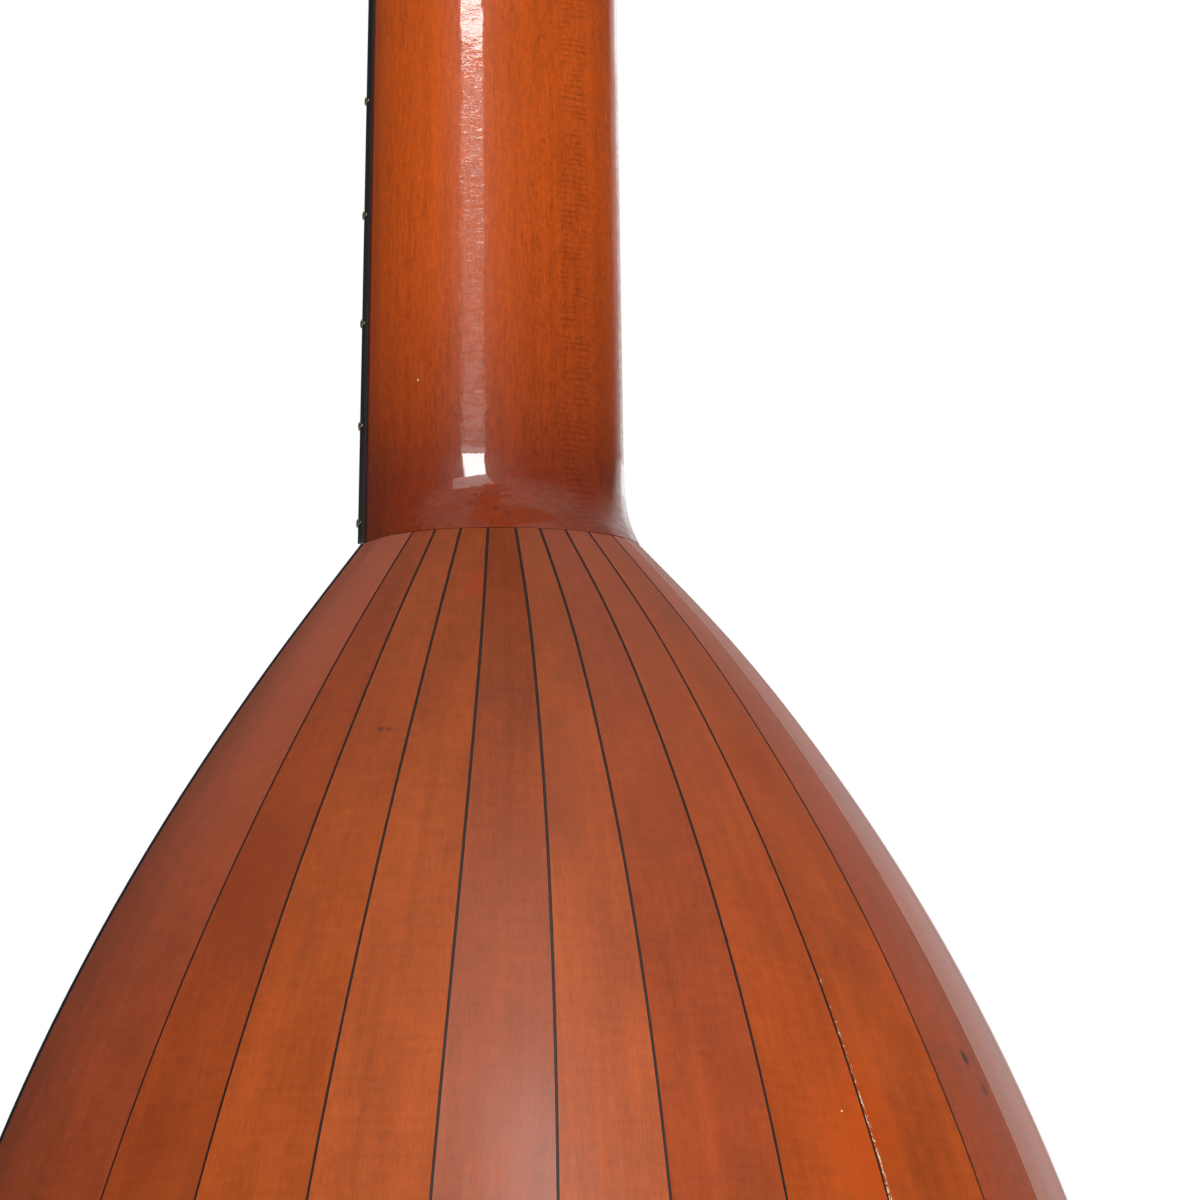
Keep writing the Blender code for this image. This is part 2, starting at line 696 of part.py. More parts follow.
def make_nut(finish, cutters):
    crest = -(FRET_TOP_AT_NUT + NUT_ABOVE_FRETS)
    profile = [
        (crest, 0.0),
        (crest, NUT_LENGTH * 0.66),
        (crest + NUT_CREST_FALL, NUT_LENGTH * 0.82),
        (NECK_LIP - GLUE_GAP, NUT_LENGTH * 0.4),
        (NECK_LIP - GLUE_GAP, 0.0),
    ]
    nut = loft("nut", prism_rings(profile, lambda z: NUT_WIDTH / 2), finish)
    for cutter in cutters:
        cut(nut, cutter)


def peg_place(order):
    # Along the pegbox and up, in its own directions
    return FIRST_PEG + PEG_SPACING * order, -PEG_DEPTH


# Outer strings go to the pegs nearest the nut, and the middle ones to the farthest
PEG_OF_STRING = (0, 2, 4, 5, 3, 1)


def peg_side(order):
    # Pegs are pushed in from each side in turn
    return 1 if order % 2 == 0 else -1


def peg_radius(order, x):
    # The shaft tapers from the head's side to its tip
    along, _ = peg_place(order)
    half = pegbox_half_width(along)
    share = (half - x * peg_side(order)) / (2 * half)
    return PEG_RADIUS + (PEG_TIP_RADIUS - PEG_RADIUS) * share


def winding_pitch(radius):
    return 2.2 * radius + GLUE_GAP


def winding_x(order, radius):
    # Where the string meets its peg: outer strings near the cheeks, middle ones near the centre
    along, _ = peg_place(order)
    inside = pegbox_half_width(along) - CHEEK_THICKNESS
    room = inside - WINDING_MARGIN - radius - WINDING_TURNS * winding_pitch(radius)
    pairs = STRING_COUNT / 2
    return peg_side(order) * room * (pairs - order // 2) / pairs


def string_points(index, stop_at_peg=False):
    nut_x, bridge_x, radius = string_path_start(index)
    order = PEG_OF_STRING[index]
    behind = BRIDGE_Z - BRIDGE_DEPTH - STRING_TAIL
    slope = (bridge_x - nut_x) / BRIDGE_Z
    points = [Vector((nut_x + slope * z, string_y(z, radius), z)) for z in (behind, BRIDGE_Z, NUT_LENGTH * 0.6)]
    over = NUT_LENGTH * 0.8
    points.append(Vector((nut_x + slope * over, string_y(over, radius) + STRING_FALL_OVER_NUT, over + radius)))
    along, up = peg_place(order)
    start = winding_x(order, radius)
    turn_radius = peg_radius(order, start) + GLUE_GAP + radius
    if stop_at_peg:
        return points + [pegbox_point(start, along, up + turn_radius)], radius
    steps = WINDING_TURNS * WINDING_STEPS
    pitch = winding_pitch(radius)
    for step in range(steps + 1):
        angle = math.pi / 2 - 2 * math.pi * step / WINDING_STEPS
        x = start + peg_side(order) * pitch * step / WINDING_STEPS
        points.append(
            pegbox_point(x, along + turn_radius * math.cos(angle), up + turn_radius * math.sin(angle))
        )
    return points, radius


def make_strings(gut, wound):
    cutters = []
    for index in range(STRING_COUNT):
        points, radius = string_points(index)
        finish = gut if index < STRING_COUNT // 2 else wound
        loft(f"string_{index + 1}", tube_rings(points, radius, 6), finish)
        path, radius = string_points(index, stop_at_peg=True)
        beyond = path[0] - (path[1] - path[0]).normalized() * STRING_TAIL
        wide = tube_rings([beyond] + path, radius * 1.16 + GROOVE_CLEARANCE, 8)
        cutters.append(loft(f"string_groove_{index + 1}", wide, finish))
    return cutters


def peg_hole(order, finish):
    along, up = peg_place(order)
    reach = pegbox_half_width(along) + CHEEK_THICKNESS
    rings = []
    for x in (-reach, reach):
        centre = pegbox_point(x, along, up)
        rings.append(ring_round(centre, (1, 0, 0), peg_radius(order, x) + PEG_CLEARANCE, HOLE_SIDES))
    return loft(f"peg_hole_{order + 1}", rings, finish)


def make_pegbox(finish):
    # One carved piece, open at the top, at the nut's end and underneath, where the back plate closes it
    bottom_front, bottom_far = seat_line(0.0)
    turns = np.linspace(0, math.pi / 2, 4)
    corner = [
        (PEGBOX_LENGTH - PEGBOX_ROUND_END * (1 - math.sin(a)), -PEGBOX_ROUND_END * (1 - math.cos(a))) for a in turns
    ]
    profile = [(front_along(0), 0.0)] + corner + [bottom_far, bottom_front]
    rings = [[pegbox_point(side * pegbox_half_width(a), a, up) for a, up in profile] for side in (-1, 1)]
    pegbox = loft("pegbox", rings, finish)
    near, far = -CHEEK_HEIGHT, PEGBOX_LENGTH - PEGBOX_END_LENGTH
    near_half, far_half = (pegbox_half_width(along) - CHEEK_THICKNESS for along in (near, far))
    trough = [
        [
            pegbox_point(x, along, up)
            for x, along in ((-near_half, near), (near_half, near), (far_half, far), (-far_half, far))
        ]
        for up in (CHEEK_HEIGHT, -2 * CHEEK_HEIGHT)
    ]
    cut(pegbox, loft("pegbox_trough", trough, finish))
    for order in range(STRING_COUNT):
        cut(pegbox, peg_hole(order, finish))
    top_line, under_line = seat_line(GLUE_GAP), seat_line(GLUE_GAP + PEGBOX_BACK_THICKNESS)
    rings = []
    for (top_along, top_up), (under_along, under_up) in zip(top_line, under_line):
        half = pegbox_half_width(top_along)
        rings.append(
            [
                pegbox_point(-half, top_along, top_up),
                pegbox_point(half, top_along, top_up),
                pegbox_point(half, under_along, under_up),
                pegbox_point(-half, under_along, under_up),
            ]
        )
    loft("pegbox_back", rings, finish)


def make_peg(order, finish):
    # One turned and flattened piece: tip, tapered shaft, collar, stem and thumb-piece
    along, up = peg_place(order)
    side = peg_side(order)
    half = pegbox_half_width(along)
    collar = half + GLUE_GAP
    stem = collar + PEG_COLLAR_LENGTH
    head = stem + PEG_STEM
    wide, thick = PEG_HEAD_WIDTH / 2, PEG_HEAD_THICKNESS / 2
    stations = [
        (-half - PEG_TIP, PEG_TIP_RADIUS * 0.8, PEG_TIP_RADIUS * 0.8),
        (-half - PEG_TIP * 0.6, peg_radius(order, -half * side), peg_radius(order, -half * side)),
        (half, peg_radius(order, half * side), peg_radius(order, half * side)),
        (collar, PEG_RADIUS, PEG_RADIUS),
        (collar, PEG_COLLAR_RADIUS, PEG_COLLAR_RADIUS),
        (collar + PEG_COLLAR_LENGTH * 0.6, PEG_COLLAR_RADIUS, PEG_COLLAR_RADIUS),
        (stem, PEG_RADIUS * 0.9, PEG_RADIUS * 0.9),
        (stem + PEG_STEM * 0.5, PEG_RADIUS * 0.72, PEG_RADIUS * 0.72),
    ]
    for share, width, depth in ((0.0, 0.45, 0.85), (0.22, 0.85, 1.0), (0.5, 1.0, 0.95), (0.78, 0.86, 0.8), (1.0, 0.45, 0.5)):
        stations.append((head + PEG_HEAD_LENGTH * share, wide * width, thick * depth))
    rings = []
    for out, across, deep in stations:
        ring = []
        for i in range(PEG_SIDES):
            angle = 2 * math.pi * i / PEG_SIDES
            ring.append((side * out, across * math.cos(angle), deep * math.sin(angle)))
        rings.append(ring)
    axis_point = pegbox_point(0, along, up)
    # The mesh is made about the peg's own axis, and the object is placed on it
    peg = loft(f"peg_{order + 1}", rings, finish)
    peg.location = axis_point
    return peg


def main():
    clear_scene()
    varnished = material("varnished_maple", (0.35, 0.075, 0.024), 0.3)
    neck_wood = material("varnished_neck", (0.42, 0.09, 0.022), 0.28)
    black_wood = material("black_wood", (0.012, 0.01, 0.009), 0.45)
    ebony = material("ebony", (0.018, 0.014, 0.012), 0.4)
    spruce = material("spruce", (0.62, 0.4, 0.18), 0.45)
    inner_wood = material("inner_wood", (0.55, 0.36, 0.19), 0.7)
    bridge_wood = material("bridge_wood", (0.1, 0.035, 0.015), 0.4)
    peg_wood = material("peg_wood", (0.05, 0.02, 0.012), 0.35)
    bone = material("bone", (0.78, 0.7, 0.55), 0.4)
    fret_metal = material("fret_metal", (0.72, 0.68, 0.58), 0.25, 1.0)
    gut = material("treble_string", (0.8, 0.76, 0.66), 0.3)
    wound = material("wound_string", (0.6, 0.5, 0.36), 0.3, 0.8)
    make_ribs(varnished)
    make_spacers(black_wood)
    make_blocks(inner_wood)
    make_clasp(varnished)
    make_soundboard(spruce, black_wood)
    make_bars(inner_wood)
    cutters = make_strings(gut, wound)
    make_bridge(bridge_wood, cutters)
    make_neck(neck_wood)
    make_fingerboard(ebony, fret_metal)
    make_nut(bone, cutters)
    make_pegbox(neck_wood)
    for order in range(STRING_COUNT):
        make_peg(order, peg_wood)


main()
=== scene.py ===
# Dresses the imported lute: bent ribs and neck made smooth, varnish, ebony, bone, spruce, metal, and the studio.
import math

import bmesh
import bpy
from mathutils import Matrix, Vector


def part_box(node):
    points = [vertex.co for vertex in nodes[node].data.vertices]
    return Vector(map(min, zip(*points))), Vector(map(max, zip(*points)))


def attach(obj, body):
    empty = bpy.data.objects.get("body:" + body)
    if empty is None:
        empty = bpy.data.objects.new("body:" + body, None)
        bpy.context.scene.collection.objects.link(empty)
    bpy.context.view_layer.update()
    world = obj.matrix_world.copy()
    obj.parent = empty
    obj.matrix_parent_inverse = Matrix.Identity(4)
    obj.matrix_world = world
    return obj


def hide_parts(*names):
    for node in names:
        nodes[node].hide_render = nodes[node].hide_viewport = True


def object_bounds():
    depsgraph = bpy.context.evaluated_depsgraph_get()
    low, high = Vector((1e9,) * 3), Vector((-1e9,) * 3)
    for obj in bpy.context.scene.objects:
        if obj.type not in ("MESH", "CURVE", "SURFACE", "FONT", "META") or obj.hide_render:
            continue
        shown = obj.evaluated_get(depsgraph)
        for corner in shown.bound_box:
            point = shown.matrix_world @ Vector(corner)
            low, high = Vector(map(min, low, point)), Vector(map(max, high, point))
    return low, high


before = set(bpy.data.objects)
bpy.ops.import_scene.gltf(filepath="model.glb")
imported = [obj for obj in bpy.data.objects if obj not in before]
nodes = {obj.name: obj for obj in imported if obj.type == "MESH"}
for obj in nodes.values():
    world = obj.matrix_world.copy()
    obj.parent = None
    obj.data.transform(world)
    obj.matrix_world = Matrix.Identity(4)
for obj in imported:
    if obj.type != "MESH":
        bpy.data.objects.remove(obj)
cadLow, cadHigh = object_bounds()
print("frame loaded,", len(nodes), "solids")

# the body's main lines, as the solids have them
body = {
    "jointHeight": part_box("neck")[0].z,
    "length": 0.46,
    "width": 0.302,
    "jointWidth": 0.0605,
}


def rimDistance(height):
    # way along the body's edge from the neck joint, so that a pattern runs down the bent ribs
    run = max(body["jointHeight"] - height, 0)
    widest = body["length"] - body["width"] / 2
    angle = 2 * math.atan2((body["width"] - body["jointWidth"]) / 2, widest)
    radius = widest / math.sin(angle)
    if run < widest:
        return radius * (angle - math.asin(math.sin(angle) - run / radius))
    tail = body["width"] / 2
    return radius * angle + tail * math.asin(min((run - widest) / tail, 1))


def pickOnly(piece):
    bpy.ops.object.select_all(action="DESELECT")
    bpy.context.view_layer.objects.active = piece
    piece.select_set(True)


def takeCopy(nodeName, pieceName, flatness=30):
    # the solid's mesh is loose triangles: merged, and four-sided faces put back
    piece = bpy.data.objects.new(pieceName, nodes[nodeName].data.copy())
    bpy.context.scene.collection.objects.link(piece)
    piece.data.materials.clear()
    pickOnly(piece)
    if piece.data.has_custom_normals:
        bpy.ops.mesh.customdata_custom_splitnormals_clear()
    bpy.ops.object.mode_set(mode="EDIT")
    bpy.ops.mesh.select_all(action="SELECT")
    bpy.ops.mesh.remove_doubles(threshold=0.00001)
    bpy.ops.mesh.tris_convert_to_quads(face_threshold=math.radians(flatness), shape_threshold=math.radians(80))
    bpy.ops.object.mode_set(mode="OBJECT")
    return piece


def creaseEdges(piece, angle=35):
    work = bmesh.new()
    work.from_mesh(piece.data)
    crease = work.edges.layers.float.get("crease_edge") or work.edges.layers.float.new("crease_edge")
    for edge in work.edges:
        edge[crease] = 1.0 if edge.calc_face_angle(0) > math.radians(angle) else 0.0
    work.to_mesh(piece.data)
    work.free()


def roundThrough(piece, levels, reach=0.01):
    # subdivision draws a surface inside its cage, so the cage goes out until the surface meets the solid's points,
    # but no point of it further than reach
    pickOnly(piece)
    wanted = [vertex.co.copy() for vertex in piece.data.vertices]
    smooth = piece.modifiers.new("round", "SUBSURF")
    smooth.levels = smooth.render_levels = 1
    for step in range(5):
        bpy.context.view_layer.update()
        now = piece.evaluated_get(bpy.context.evaluated_depsgraph_get()).data.vertices
        shifts = [target - now[i].co for i, target in enumerate(wanted)]
        for vertex, shift, target in zip(piece.data.vertices, shifts, wanted):
            out = vertex.co + shift - target
            vertex.co = target + out * min(1, reach / max(out.length, 1e-9))
        piece.data.update()
    smooth.levels = smooth.render_levels = levels
    bpy.ops.object.modifier_apply(modifier=smooth.name)


def softenEdges(piece, width, segments=2, angle=40):
    pickOnly(piece)
    bevel = piece.modifiers.new("soft edges", "BEVEL")
    bevel.width = width
    bevel.segments = segments
    bevel.limit_method = "ANGLE"
    bevel.angle_limit = math.radians(angle)
    bevel.use_clamp_overlap = True
    bpy.ops.object.modifier_apply(modifier=bevel.name)


def finishPiece(piece, nodeName, material, bodyName="root", angle=35):
    # nothing stands outside the solids' box
    for vertex in piece.data.vertices:
        for axis in range(3):
            vertex.co[axis] = min(max(vertex.co[axis], cadLow[axis]), cadHigh[axis])
    corners = [[vertex.co[axis] for vertex in piece.data.vertices] for axis in range(3)]
    low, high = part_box(nodeName)
    spill = max(max(low[axis] - min(corners[axis]), max(corners[axis]) - high[axis]) for axis in range(3))
    if spill > 0.0004:
        print(piece.name, "stands", round(spill * 1000, 2), "mm outside its solid")
    piece.data.materials.append(material)
    pickOnly(piece)
    bpy.ops.object.shade_smooth_by_angle(angle=math.radians(angle))
    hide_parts(nodeName)
    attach(piece, bodyName)
    return piece


def layGrain(piece, start):
    # across the rib, along it, and how near to its edges (-1 to 1), kept on each point
    ranked = sorted(piece.data.vertices, key=lambda vertex: vertex.co.z)
    stations = [[ranked[0]]]
    for vertex in ranked[1:]:
        if vertex.co.z - stations[-1][-1].co.z > 0.0025:
            stations.append([])
        stations[-1].append(vertex)
    grain = piece.data.attributes.new("grain", "FLOAT_VECTOR", "POINT")
    for station in stations:
        pairs = [(a, b) for a in station for b in station]
        first, last = max(pairs, key=lambda pair: (pair[0].co - pair[1].co).length)
        across = last.co - first.co
        if across.x + 0.3 * across.y < 0:
            across.negate()
        half = max(across.length / 2, 0.0001)
        across.normalize()
        middle = (first.co + last.co) / 2
        for vertex in station:
            out = (vertex.co - middle).dot(across)
            grain.data[vertex.index].vector = (out + start, rimDistance(vertex.co.z), out / half)


def newFinish(name):
    made = bpy.data.materials.new(name)
    made.use_nodes = True
    return made, made.node_tree, made.node_tree.nodes["Principled BSDF"]


def addNode(tree, kind, inputs=None, **settings):
    # inputs are values or other nodes' sockets
    node = tree.nodes.new(kind)
    for key, value in settings.items():
        setattr(node, key, value)
    for socket, value in (inputs or {}).items():
        if isinstance(value, bpy.types.NodeSocket):
            tree.links.new(value, node.inputs[socket])
        else:
            node.inputs[socket].default_value = value
    return node


def scaled(tree, vector, scale, shift=(0, 0, 0)):
    return addNode(tree, "ShaderNodeMapping", {"Vector": vector, "Scale": scale, "Location": shift}).outputs[0]


def noise(tree, vector, scale=1.0, detail=3.0, roughness=0.5, distortion=0.0):
    return addNode(
        tree,
        "ShaderNodeTexNoise",
        {"Vector": vector, "Scale": scale, "Detail": detail, "Roughness": roughness, "Distortion": distortion},
    ).outputs["Fac"]


def sums(tree, operation, first, second, clamp=False):
    node = addNode(tree, "ShaderNodeMath", {0: first, 1: second}, operation=operation)
    node.use_clamp = clamp
    return node.outputs[0]


def weighed(tree, parts, start):
    # start plus each pattern's part, counted from its middle
    total = start
    for pattern, amount in parts:
        total = sums(tree, "ADD", sums(tree, "MULTIPLY", sums(tree, "SUBTRACT", pattern, 0.5), amount), total)
    return total


def band(tree, value, low, high):
    # 0 below low, 1 above high, smooth between
    node = addNode(
        tree, "ShaderNodeMapRange", {"Value": value, "From Min": low, "From Max": high}, interpolation_type="SMOOTHSTEP"
    )
    return node.outputs[0]


def ramp(tree, factor, stops):
    node = addNode(tree, "ShaderNodeValToRGB", {"Fac": factor})
    places = node.color_ramp.elements
    while len(places) < len(stops):
        places.new(0.5)
    for place, (position, colour) in zip(places, stops):
        place.position = position
        place.color = (*colour, 1)
    return node.outputs["Color"]


def mixed(tree, factor, first, second, blend="MIX"):
    node = addNode(tree, "ShaderNodeMix", data_type="RGBA", blend_type=blend)
    for index, value in ((0, factor), (6, first), (7, second)):
        if isinstance(value, bpy.types.NodeSocket):
            tree.links.new(value, node.inputs[index])
        else:
            node.inputs[index].default_value = (*value, 1) if index else value
    return node.outputs[2]


def bump(tree, height, strength, distance, normal=None):
    inputs = {"Height": height, "Strength": strength, "Distance": distance}
    if normal is not None:
        inputs["Normal"] = normal
    return addNode(tree, "ShaderNodeBump", inputs).outputs[0]


def shades(colour, dark, light):
    return (
        (0.0, tuple(c * dark for c in colour)),
        (0.5, colour),
        (1.0, tuple(min(c * light, 1) for c in colour)),
    )


varnish = {
    "roughness": 0.48,
    "specular": 0.2,
    "coatRoughness": 0.2,
    "coatWeight": 0.2,
    "streaks": 0.7,
    "fine": 1.1,
    "clouds": 1.3,
    "flame": 0.65,
    "patina": (0.21, 0.045, 0.014),
    # how far down from the joint the colour is darker, and how far the painted reflection reaches: a pale veil laid
    # into the colour near the neck, in metres
    "shadeLength": 0.15,
    "paintedVeilLength": 0.18,
    "paintedVeil": (0.35, 0.13, 0.09),
}


def spotted(tree, place, wander, wood, mark):
    # a ragged spot of another colour round one point; the last number makes it longer down the rib
    where, reach, tint, strength, stretch = mark
    squeezed = scaled(tree, place, (1, 1, 1 / stretch))
    centre = (where[0], where[1], where[2] / stretch)
    away = addNode(tree, "ShaderNodeVectorMath", {0: squeezed, 1: centre}, operation="DISTANCE").outputs["Value"]
    away = weighed(tree, ((wander, reach * 1.1),), away)
    inside = sums(tree, "SUBTRACT", 1.0, band(tree, away, reach * 0.3, reach))
    return mixed(tree, sums(tree, "MULTIPLY", inside, strength), wood, tint)


# bare chips beside one seam, where the varnish has come off: which rib, from and to which height
chipped = {"rib": "rib_05", "low": -0.408, "high": -0.358, "edge": 0.938, "colour": (0.78, 0.62, 0.42)}


def chips(tree, grain, height, wood):
    share = addNode(tree, "ShaderNodeSeparateXYZ", {"Vector": grain}).outputs["Z"]
    edge = band(tree, share, chipped["edge"], chipped["edge"] + 0.03)
    flakes = noise(tree, scaled(tree, grain, (1900, 620, 0)), detail=2, roughness=0.7)
    # more of them further down
    run = addNode(
        tree, "ShaderNodeMapRange", {"Value": height, "From Min": chipped["high"], "From Max": chipped["low"]}
    ).outputs[0]
    limit = sums(tree, "SUBTRACT", 0.63, sums(tree, "MULTIPLY", run, 0.13))
    shown = band(tree, sums(tree, "SUBTRACT", flakes, limit), 0.0, 0.03)
    shown = sums(tree, "MULTIPLY", shown, sums(tree, "LESS_THAN", height, chipped["high"]))
    return mixed(tree, sums(tree, "MULTIPLY", shown, edge), wood, chipped["colour"])


def ribVarnish(name, colour, shadeAtJoint=1.0, paintedVeil=0.0, marks=(), withChips=False):
    made, tree, shader = newFinish(name)
    place = addNode(tree, "ShaderNodeTexCoord").outputs["Object"]
    grain = addNode(tree, "ShaderNodeAttribute", attribute_name="grain").outputs["Vector"]
    streaks = noise(tree, scaled(tree, grain, (420, 9, 0)), detail=4, roughness=0.6)
    fine = noise(tree, scaled(tree, grain, (2300, 240, 0)), detail=3, roughness=0.65)
    clouds = noise(tree, scaled(tree, grain, (55, 22, 0)), detail=3, roughness=0.55)
    flame = noise(tree, scaled(tree, grain, (150, 620, 0)), detail=3, roughness=0.6)
    parts = ((streaks, "streaks"), (fine, "fine"), (clouds, "clouds"), (flame, "flame"))
    tone = weighed(tree, [(pattern, varnish[key]) for pattern, key in parts], 0.5)
    wood = ramp(tree, tone, shades(colour, 0.72, 1.3))
    # browner places here and there, where the varnish has aged
    aged = noise(tree, scaled(tree, grain, (48, 30, 0), (7, 3, 0)), detail=4, roughness=0.65)
    wood = mixed(tree, sums(tree, "MULTIPLY", band(tree, aged, 0.52, 0.7), 0.32), wood, varnish["patina"])
    along = addNode(tree, "ShaderNodeSeparateXYZ", {"Vector": grain}).outputs["Y"]
    depth = ramp(
        tree,
        sums(tree, "DIVIDE", along, varnish["shadeLength"]),
        [(at, (1 - (1 - shadeAtJoint) * share,) * 3) for at, share in ((0.0, 1.0), (0.33, 0.72), (0.67, 0.3), (1.0, 0.0))],
    )
    wood = mixed(tree, 1.0, wood, depth, "MULTIPLY")
    # painted reflection: a pale veil mixed into the colour near the neck, standing in for the pale light the varnish
    # mirrors there
    paintedVeilShare = sums(tree, "SUBTRACT", 1.0, band(tree, along, 0.0, varnish["paintedVeilLength"]))
    wood = mixed(tree, sums(tree, "MULTIPLY", paintedVeilShare, paintedVeil), wood, varnish["paintedVeil"])
    wander = noise(tree, place, scale=420, detail=3) if marks else None
    for mark in marks:
        wood = spotted(tree, place, wander, wood, mark)
    if withChips:
        wood = chips(tree, grain, addNode(tree, "ShaderNodeSeparateXYZ", {"Vector": place}).outputs["Z"], wood)
    tree.links.new(wood, shader.inputs["Base Color"])
    tree.links.new(weighed(tree, ((clouds, 0.12), (fine, 0.1)), varnish["roughness"]), shader.inputs["Roughness"])
    ripple = noise(tree, scaled(tree, grain, (260, 60, 0)), detail=3)
    surface = bump(tree, weighed(tree, ((ripple, 1.0), (fine, 0.25)), 0.5), 0.12, 0.0004)
    tree.links.new(surface, shader.inputs["Normal"])
    tree.links.new(surface, shader.inputs["Coat Normal"])
    shader.inputs["Specular IOR Level"].default_value = varnish["specular"]
    shader.inputs["Coat Weight"].default_value = varnish["coatWeight"]
    shader.inputs["Coat Roughness"].default_value = varnish["coatRoughness"]
    return made


neckFinish = {
    "colour": (0.46, 0.07, 0.0045),
    # how dark and how red the colour is made, going down the neck towards the heel, by height in metres
    "shading": (
        (-0.256, (0.42, 0.36, 0.9)),
        (-0.243, (0.40, 0.33, 0.9)),
        (-0.225, (0.64, 0.6, 0.95)),
        (-0.19, (0.92, 0.9, 1.0)),
        (-0.15, (1.0, 1.0, 1.0)),
    ),
    # how much of the gloss is left, by height: worn where the thumb slides, whole at the top and by the heel
    "gloss": (
        (-0.2560, 0.45), (-0.2450, 0.7), (-0.2439, 1.0), (-0.2370, 1.0), (-0.2364, 0.4), (-0.2254, 0.42),
        (-0.2230, 0.36), (-0.2025, 0.3), (-0.1750, 0.36), (-0.1640, 0.6), (-0.1600, 0.72), (-0.1530, 0.6),
        (-0.1490, 0.6), (-0.1430, 0.95),
    ),
    # small places where the varnish still shines
    "shine": (
        ((0.0128, 0.0213, -0.1747), 0.0013, (1, 1, 1), 1.0, 0.45),
        ((0.0123, 0.0226, -0.2243), 0.0014, (1, 1, 1), 1.0, 0.35),
        ((0.0136, 0.0208, -0.1560), 0.0016, (1, 1, 1), 0.9, 0.7),
        ((0.0119, 0.0214, -0.1574), 0.0015, (1, 1, 1), 1.0, 0.8),
    ),
    "edgeHeight": 0.0022,
    "footDrop": 0.00022,
    "cutsAboveJoint": (0.025, 0.032, 0.042),
    # the column of curl, across the neck
    "curlMiddle": -0.0112,
    "curlHalf": 0.0048,
    "roughness": 0.36,
    "specular": 0.2,
    "coatRoughness": 0.05,
    # small pale specks and darker places
    "marks": (
        ((0.0240, 0.0160, -0.2214), 0.00025, (0.85, 0.7, 0.55), 0.9, 1.2),
        ((0.0114, 0.0301, -0.2513), 0.0011, (0.10, 0.012, 0.006), 0.6, 1.0),
        ((0.0093, 0.0319, -0.2523), 0.0013, (0.10, 0.012, 0.006), 0.6, 0.8),
    ),
}


